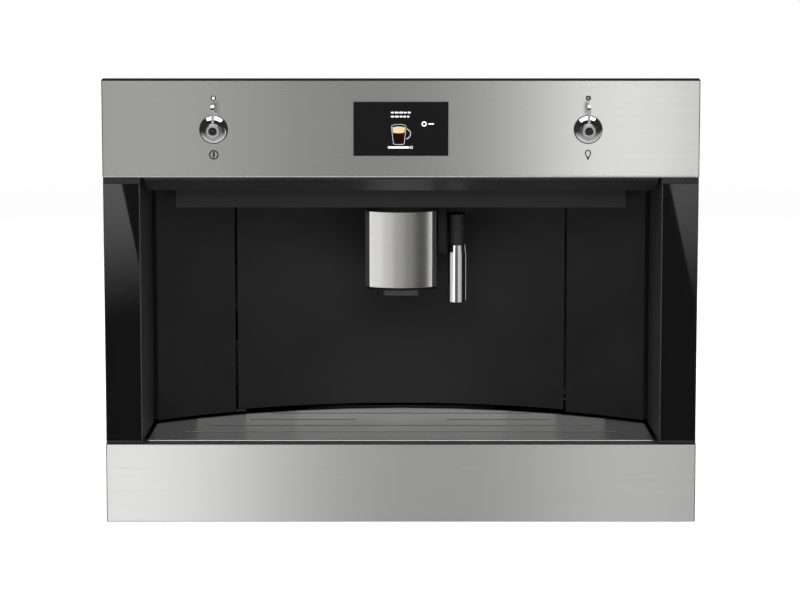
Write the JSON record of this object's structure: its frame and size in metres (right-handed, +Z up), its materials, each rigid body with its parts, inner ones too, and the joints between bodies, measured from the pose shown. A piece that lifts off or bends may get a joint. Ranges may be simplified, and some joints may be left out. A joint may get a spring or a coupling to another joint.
{
  "type": "built-in coffee machine",
  "caption": "Built-in bean-to-cup coffee machine: steel panels, black glass pillars, a lit recess with a curved service door, height-adjustable spout, hot water spout and pull-out drip drawer.",
  "frame": {"origin": "under the middle of the bounding box, level with the bottom edge of the lower panel", "axes": "+X to the right as one faces the machine, +Y back into the cabinet, +Z up"},
  "size_m": [0.597, 0.44, 0.45],
  "materials": {
    "brushed_steel": "brushed lengthways, satin",
    "spout_steel": "brushed upright, satin",
    "tray_steel": "satin",
    "chrome": "polished",
    "satin_chrome": "satin",
    "black_glass": "polished black",
    "black_plastic": "satin black",
    "spout_plastic": "satin black",
    "zinc_sheet": "zinc coated sheet",
    "bearing_steel": "ground steel",
    "lens": "clear lens",
    "smoked_plastic": "smoked, clear",
    "clear_plastic": "clear, slightly grey",
    "grey_plastic": "moulded",
    "circuit_board": "lacquered board",
    "motor_paint": "black lacquer",
    "burr_steel": "hardened, ground",
    "cast_aluminium": "as cast",
    "pump_brass": "bare"
  },
  "bodies": {
    "cabinet_rails": {"outer_rails": "zinc_sheet"},
    "middle_rails": {"middle_rails": "zinc_sheet", "rail_balls": "bearing_steel"},
    "machine": {"base_pan": "zinc_sheet", "bean_hopper": "smoked_plastic", "brew_chamber": "grey_plastic", "brew_frame": "grey_plastic", "brew_motor": "motor_paint", "control_board": "circuit_board", "control_panel": "brushed_steel", "display_glass": "black_glass", "door_pivots": "bearing_steel", "grinder_housing": "grey_plastic", "grinder_motor": "motor_paint", "ground_coffee_funnel": "smoked_plastic", "indicator_lenses": "lens", "inner_rails": "zinc_sheet", "knob_escutcheons": "chrome", "lip_baffle": "black_plastic", "mains_inlet": "grey_plastic", "mid_deck": "zinc_sheet", "panel_back_cover": "zinc_sheet", "panel_carrier": "black_plastic", "pillar_frames": "black_plastic", "pillar_glasses": "black_glass", "power_board": "circuit_board", "pump": "pump_brass", "rear_panel": "zinc_sheet", "recess_canopy": "black_plastic", "recess_wall_left": "black_plastic", "recess_wall_right": "black_plastic", "selector_switches": "grey_plastic", "side_flanges": "zinc_sheet", "side_panels": "zinc_sheet", "thermoblock": "cast_aluminium", "top_cover": "zinc_sheet", "upper_burr": "burr_steel"},
    "service_door": {"service_door": "black_plastic", "spout_column": "spout_plastic", "water_bracket": "spout_plastic"},
    "coffee_spout": {"spout_body": "spout_plastic", "spout_cover": "spout_steel", "nozzle_block": "spout_plastic"},
    "hot_water_spout": {"water_grip": "spout_plastic", "water_sleeve": "chrome"},
    "left_lever": {"left_lever": "satin_chrome"},
    "right_lever": {"right_lever": "satin_chrome"},
    "drip_drawer": {"lower_panel": "brushed_steel", "drawer_carrier": "black_plastic", "drip_tray": "black_plastic", "cup_grille": "tray_steel", "grounds_container": "black_plastic"},
    "bean_lid": {"bean_lid": "smoked_plastic"},
    "funnel_lid": {"funnel_lid": "smoked_plastic"},
    "water_tank": {"water_tank": "clear_plastic"},
    "tank_lid": {"tank_lid": "clear_plastic"},
    "grind_knob": {"grind_knob": "grey_plastic"},
    "burr": {"lower_burr": "burr_steel"},
    "spindle": {"brew_spindle": "bearing_steel"},
    "piston": {"brew_piston": "grey_plastic"}
  },
  "joints": [
    {"name": "machine_pull_out", "type": "slide", "parent": "cabinet_rails", "child": "machine", "axis": [0, -1, 0], "range_m": [0, 0.3]},
    {"name": "middle_rail_slide", "type": "slide", "parent": "cabinet_rails", "child": "middle_rails", "axis": [0, -1, 0], "range_m": [0, 0.151]},
    {"name": "service_door_hinge", "type": "hinge", "parent": "machine", "child": "service_door", "pos_m": [-0.1682, -0.0463, 0.2], "axis": [0, 0, -1], "range_deg": [0, 85]},
    {"name": "spout_height", "type": "slide", "parent": "service_door", "child": "coffee_spout", "axis": [0, 0, -1], "range_m": [0, 0.055]},
    {"name": "water_spout_pull", "type": "slide", "parent": "service_door", "child": "hot_water_spout", "axis": [0, -1, 0], "range_m": [0, 0.04]},
    {"name": "left_lever_turn", "type": "hinge", "parent": "machine", "child": "left_lever", "pos_m": [-0.1869, -0.2, 0.4006], "axis": [0, 1, 0], "range_deg": [-40, 40], "stiffness_Nm_per_rad": 0.05},
    {"name": "right_lever_turn", "type": "hinge", "parent": "machine", "child": "right_lever", "pos_m": [0.1869, -0.2, 0.4006], "axis": [0, 1, 0], "range_deg": [-40, 40], "stiffness_Nm_per_rad": 0.05},
    {"name": "drip_drawer_slide", "type": "slide", "parent": "machine", "child": "drip_drawer", "axis": [0, -1, 0], "range_m": [0, 0.25]},
    {"name": "bean_lid_hinge", "type": "hinge", "parent": "machine", "child": "bean_lid", "pos_m": [-0.135, 0.1487, 0.4045], "axis": [-1, 0, 0], "range_deg": [0, 100]},
    {"name": "funnel_lid_hinge", "type": "hinge", "parent": "machine", "child": "funnel_lid", "pos_m": [0.042, 0.0937, 0.4045], "axis": [-1, 0, 0], "range_deg": [0, 100]},
    {"name": "water_tank_lift", "type": "slide", "parent": "machine", "child": "water_tank", "axis": [0, 0, 1], "range_m": [0, 0.22]},
    {"name": "tank_lid_hinge", "type": "hinge", "parent": "water_tank", "child": "tank_lid", "pos_m": [0.174, 0.2067, 0.3945], "axis": [-1, 0, 0], "range_deg": [0, 100]},
    {"name": "grind_knob_turn", "type": "hinge", "parent": "machine", "child": "grind_knob", "pos_m": [-0.13, 0.178, 0.405], "axis": [0, 0, 1], "range_deg": [-60, 60]},
    {"name": "burr_spin", "type": "hinge", "parent": "machine", "child": "burr", "pos_m": [-0.13, 0.085, 0.25], "axis": [0, 0, 1], "continuous": true},
    {"name": "spindle_turn", "type": "hinge", "parent": "machine", "child": "spindle", "pos_m": [0, 0.058, 0.12], "axis": [0, 0, 1], "range_deg": [0, 632]},
    {"name": "piston_slide", "type": "slide", "parent": "machine", "child": "piston", "axis": [0, 0, 1], "range_m": [0, 0.035]}
  ],
  "couplings": [
    {"joint": "middle_rail_slide", "follows": "machine_pull_out", "ratio": 0.5},
    {"joint": "spindle_turn", "follows": "piston_slide", "rad_per_m": 314.16}
  ]
}
